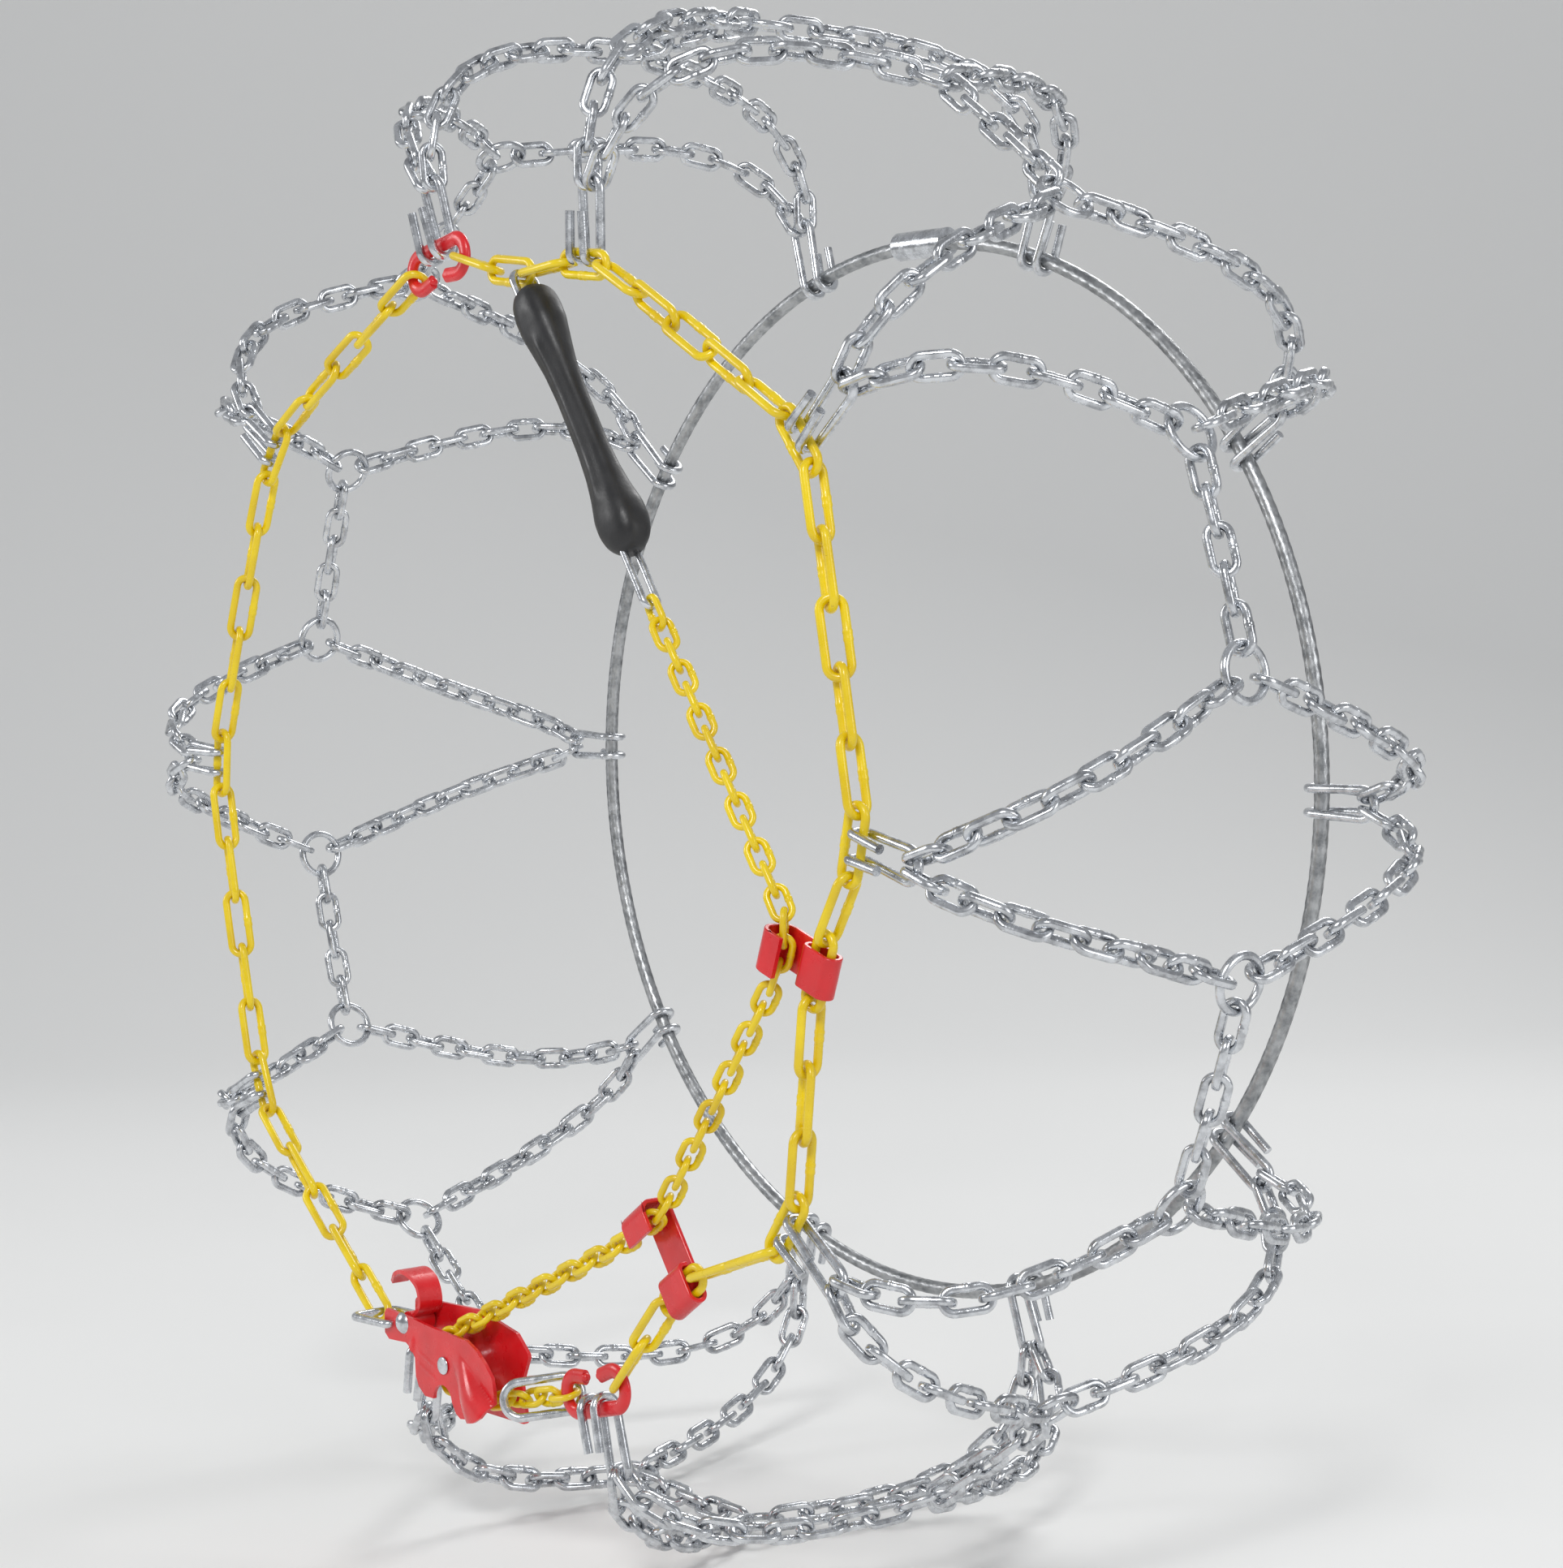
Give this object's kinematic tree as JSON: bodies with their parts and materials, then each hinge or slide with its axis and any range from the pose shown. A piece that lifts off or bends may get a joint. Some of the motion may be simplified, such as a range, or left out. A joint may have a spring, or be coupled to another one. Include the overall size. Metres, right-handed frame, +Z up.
{
  "type": "snow chain",
  "caption": "Passenger tyre snow chain: diamond-pattern cross chains, yellow side and pulling chains, red tensioner and guides, rubber strap.",
  "frame": {"origin": "centre of the wheel the chain is fitted to", "axes": "+Y along the wheel axis towards the vehicle, +Z up, so the outer face of the net looks towards -Y"},
  "size_m": [0.7984, 0.3216, 0.8018],
  "materials": {
    "yellow_paint": "gloss",
    "red_paint": "gloss",
    "zinc_steel": "satin",
    "cable_steel": "satin",
    "black_rubber": "satin"
  },
  "bodies": {
    "net": {"cable_sleeve": "zinc_steel", "connecting_hook_low": "red_paint", "connecting_hook_top": "red_paint", "inner_cable": "cable_steel", "inner_legs_01": "zinc_steel", "inner_legs_02": "zinc_steel", "inner_legs_03": "zinc_steel", "inner_legs_04": "zinc_steel", "inner_legs_05": "zinc_steel", "inner_legs_06": "zinc_steel", "inner_legs_07": "zinc_steel", "inner_legs_08": "zinc_steel", "inner_legs_09": "zinc_steel", "inner_legs_10": "zinc_steel", "inner_shackles": "zinc_steel", "outer_legs_01": "zinc_steel", "outer_legs_02": "zinc_steel", "outer_legs_03": "zinc_steel", "outer_legs_04": "zinc_steel", "outer_legs_05": "zinc_steel", "outer_legs_06": "zinc_steel", "outer_legs_07": "zinc_steel", "outer_legs_08": "zinc_steel", "outer_legs_09": "zinc_steel", "outer_legs_10": "zinc_steel", "outer_shackles": "zinc_steel", "pulling_chain": "yellow_paint", "side_chain_left": "yellow_paint", "side_chain_right": "yellow_paint", "strap_low_staple": "zinc_steel", "strap_rubber": "black_rubber", "strap_top_staple": "zinc_steel", "tail_chain": "yellow_paint", "tensioner_back_plate": "red_paint", "tensioner_front_plate": "red_paint", "tensioner_post": "zinc_steel", "tensioner_rivet": "zinc_steel", "tread_chain_01": "zinc_steel", "tread_chain_02": "zinc_steel", "tread_chain_03": "zinc_steel", "tread_chain_04": "zinc_steel", "tread_chain_05": "zinc_steel", "tread_chain_06": "zinc_steel", "tread_chain_07": "zinc_steel", "tread_chain_08": "zinc_steel", "tread_chain_09": "zinc_steel", "tread_chain_10": "zinc_steel", "tread_rings": "zinc_steel"},
    "lever": {"tensioner_lever": "red_paint"},
    "upper_guide": {"chain_guide_1": "red_paint"},
    "lower_guide": {"chain_guide_2": "red_paint"},
    "oval_ring": {"oval_ring": "zinc_steel"},
    "wire_eye": {"tensioner_wire_eye": "zinc_steel"}
  },
  "joints": [
    {"name": "lever_hinge", "type": "hinge", "parent": "net", "child": "lever", "pos_m": [-0.075, -0.15, -0.282], "axis": [0, -1, 0], "range_deg": [0, 40]},
    {"name": "wire_eye_hinge", "type": "hinge", "parent": "net", "child": "wire_eye", "pos_m": [-0.086, -0.15, -0.284], "axis": [0, -1, 0], "range_deg": [-0.5, 0.5]},
    {"name": "upper_guide_swing", "type": "hinge", "parent": "net", "child": "upper_guide", "pos_m": [0.25145, -0.143, -0.07677], "axis": [-0.3484, 0, -0.9373], "range_deg": [-0.6, 2]},
    {"name": "lower_guide_swing", "type": "hinge", "parent": "net", "child": "lower_guide", "pos_m": [0.14633, -0.143, -0.23532], "axis": [-0.8243, 0, -0.5661], "range_deg": [-2, 2]},
    {"name": "oval_ring_swing", "type": "hinge", "parent": "net", "child": "oval_ring", "pos_m": [0.03113, -0.14524, -0.3055], "axis": [0.9719, 0.1182, 0.2037], "range_deg": [-4, 4]}
  ]
}
